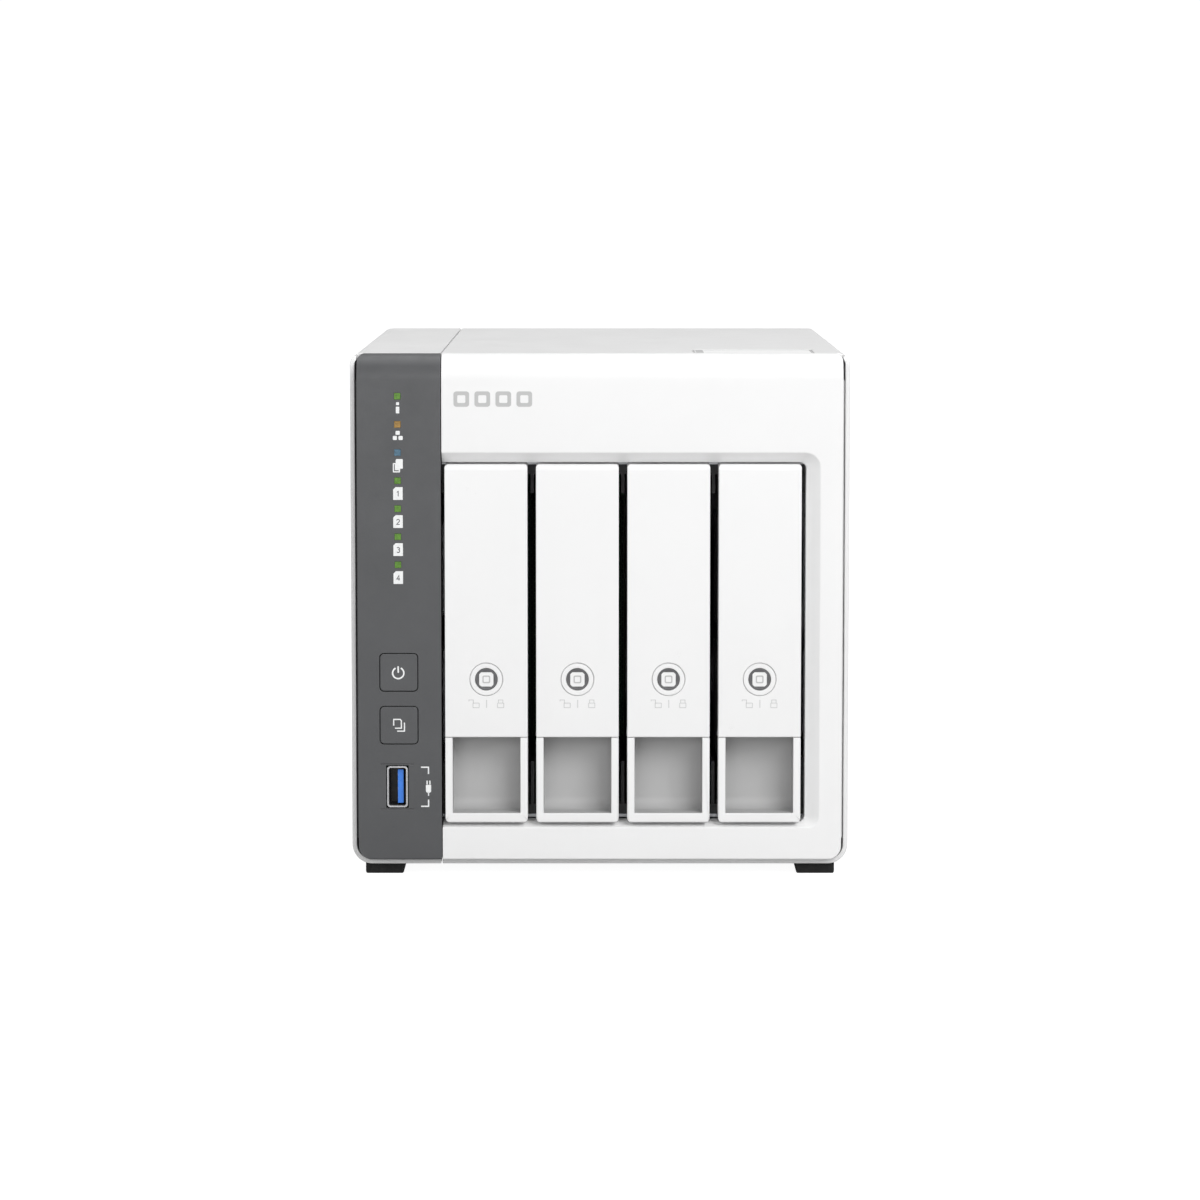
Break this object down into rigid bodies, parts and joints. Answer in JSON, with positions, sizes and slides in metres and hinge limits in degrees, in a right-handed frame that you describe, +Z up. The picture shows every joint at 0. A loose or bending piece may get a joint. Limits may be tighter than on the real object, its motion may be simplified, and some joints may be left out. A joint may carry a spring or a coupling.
{
  "type": "nas enclosure",
  "caption": "Upright desktop network storage box with a white cover, a dark control strip and front drive trays with lever plates, locks and finger recesses.",
  "frame": {"origin": "middle of the base at the level of the table under the feet", "axes": "+Z up, the front with the trays faces -Y, +X to the right seen from the front"},
  "size_m": [0.16, 0.219, 0.1685],
  "materials": {
    "cover_paint": "fine satin white paint",
    "bezel_plastic": "satin white plastic",
    "strip_plastic": "satin dark grey plastic",
    "key_plastic": "satin dark grey plastic",
    "tray_white": "satin white plastic",
    "tray_black": "textured black plastic",
    "strip_grey": "grey plastic",
    "rail_plastic": "dark grey plastic",
    "lock_grey": "grey plastic",
    "lens_green": "green lens",
    "lens_amber": "amber lens",
    "lens_blue": "blue lens",
    "bright_steel": "bright plated steel",
    "cage_steel": "zinc plated steel",
    "rear_paint": "light grey paint",
    "tongue_blue": "blue plastic",
    "board_green": "solder mask",
    "part_black": "black plastic",
    "alloy": "extruded fins",
    "foot_rubber": "black rubber",
    "label_white": "blank white label"
  },
  "bodies": {
    "case": {"main_shell": "cover_paint", "left_cover": "cover_paint", "front_bezel": "bezel_plastic", "control_panel": "strip_plastic", "lights_green": "lens_green", "light_amber": "lens_amber", "light_blue": "lens_blue", "front_board": "board_green", "front_usb_shell": "bright_steel", "front_usb_tongue": "tongue_blue", "drive_cage": "cage_steel", "guide_rails": "rail_plastic", "backplane": "board_green", "drive_sockets": "part_black", "main_board": "board_green", "board_parts": "part_black", "heatsink": "alloy", "port_plate": "rear_paint", "rear_panel": "rear_paint", "fan_frame": "part_black", "fan_guard": "bright_steel", "screws": "bright_steel", "lan_jacks": "bright_steel", "rear_usb": "bright_steel", "dc_jack": "part_black", "feet": "foot_rubber", "top_label": "label_white"},
    "power_key": {"power_button": "key_plastic"},
    "copy_key": {"copy_button": "key_plastic"},
    "rotor": {"fan_rotor": "part_black"},
    "reset_key": {"reset_button": "part_black"},
    "tray_1": {"tray_front_1": "tray_white", "tray_body_1": "tray_black", "tray_strips_1": "strip_grey", "lever_pin_1": "bright_steel"},
    "handle_1": {"lever_1": "tray_white"},
    "lock_1": {"lock_core_1": "lock_grey", "lock_cap_1": "tray_white"},
    "tray_2": {"tray_front_2": "tray_white", "tray_body_2": "tray_black", "tray_strips_2": "strip_grey", "lever_pin_2": "bright_steel"},
    "handle_2": {"lever_2": "tray_white"},
    "lock_2": {"lock_core_2": "lock_grey", "lock_cap_2": "tray_white"},
    "tray_3": {"tray_front_3": "tray_white", "tray_body_3": "tray_black", "tray_strips_3": "strip_grey", "lever_pin_3": "bright_steel"},
    "handle_3": {"lever_3": "tray_white"},
    "lock_3": {"lock_core_3": "lock_grey", "lock_cap_3": "tray_white"},
    "tray_4": {"tray_front_4": "tray_white", "tray_body_4": "tray_black", "tray_strips_4": "strip_grey", "lever_pin_4": "bright_steel"},
    "handle_4": {"lever_4": "tray_white"},
    "lock_4": {"lock_core_4": "lock_grey", "lock_cap_4": "tray_white"}
  },
  "joints": [
    {"name": "power_press", "type": "slide", "parent": "case", "child": "power_key", "axis": [0, 1, 0], "range_m": [0, 0.001], "stiffness_N_per_m": 400},
    {"name": "copy_press", "type": "slide", "parent": "case", "child": "copy_key", "axis": [0, 1, 0], "range_m": [0, 0.001], "stiffness_N_per_m": 400},
    {"name": "reset_press", "type": "slide", "parent": "case", "child": "reset_key", "axis": [0, -1, 0], "range_m": [0, 0.0005], "stiffness_N_per_m": 400},
    {"name": "fan_spin", "type": "hinge", "parent": "case", "child": "rotor", "pos_m": [0.012, 0.095, 0.076], "axis": [0, 1, 0], "continuous": true},
    {"name": "tray_slide_1", "type": "slide", "parent": "case", "child": "tray_1", "axis": [0, -1, 0], "range_m": [0, 0.15]},
    {"name": "lever_hinge_1", "type": "hinge", "parent": "tray_1", "child": "handle_1", "pos_m": [-0.0365, -0.1065, 0.1273], "axis": [-1, 0, 0], "range_deg": [0, 50]},
    {"name": "lock_turn_1", "type": "hinge", "parent": "handle_1", "child": "lock_1", "pos_m": [-0.0365, -0.1085, 0.0642], "axis": [0, 1, 0], "range_deg": [0, 90]},
    {"name": "tray_slide_2", "type": "slide", "parent": "case", "child": "tray_2", "axis": [0, -1, 0], "range_m": [0, 0.15]},
    {"name": "lever_hinge_2", "type": "hinge", "parent": "tray_2", "child": "handle_2", "pos_m": [-0.00725, -0.1065, 0.1273], "axis": [-1, 0, 0], "range_deg": [0, 50]},
    {"name": "lock_turn_2", "type": "hinge", "parent": "handle_2", "child": "lock_2", "pos_m": [-0.00725, -0.1085, 0.0642], "axis": [0, 1, 0], "range_deg": [0, 90]},
    {"name": "tray_slide_3", "type": "slide", "parent": "case", "child": "tray_3", "axis": [0, -1, 0], "range_m": [0, 0.15]},
    {"name": "lever_hinge_3", "type": "hinge", "parent": "tray_3", "child": "handle_3", "pos_m": [0.022, -0.1065, 0.1273], "axis": [-1, 0, 0], "range_deg": [0, 50]},
    {"name": "lock_turn_3", "type": "hinge", "parent": "handle_3", "child": "lock_3", "pos_m": [0.022, -0.1085, 0.0642], "axis": [0, 1, 0], "range_deg": [0, 90]},
    {"name": "tray_slide_4", "type": "slide", "parent": "case", "child": "tray_4", "axis": [0, -1, 0], "range_m": [0, 0.15]},
    {"name": "lever_hinge_4", "type": "hinge", "parent": "tray_4", "child": "handle_4", "pos_m": [0.05125, -0.1065, 0.1273], "axis": [-1, 0, 0], "range_deg": [0, 50]},
    {"name": "lock_turn_4", "type": "hinge", "parent": "handle_4", "child": "lock_4", "pos_m": [0.05125, -0.1085, 0.0642], "axis": [0, 1, 0], "range_deg": [0, 90]}
  ]
}
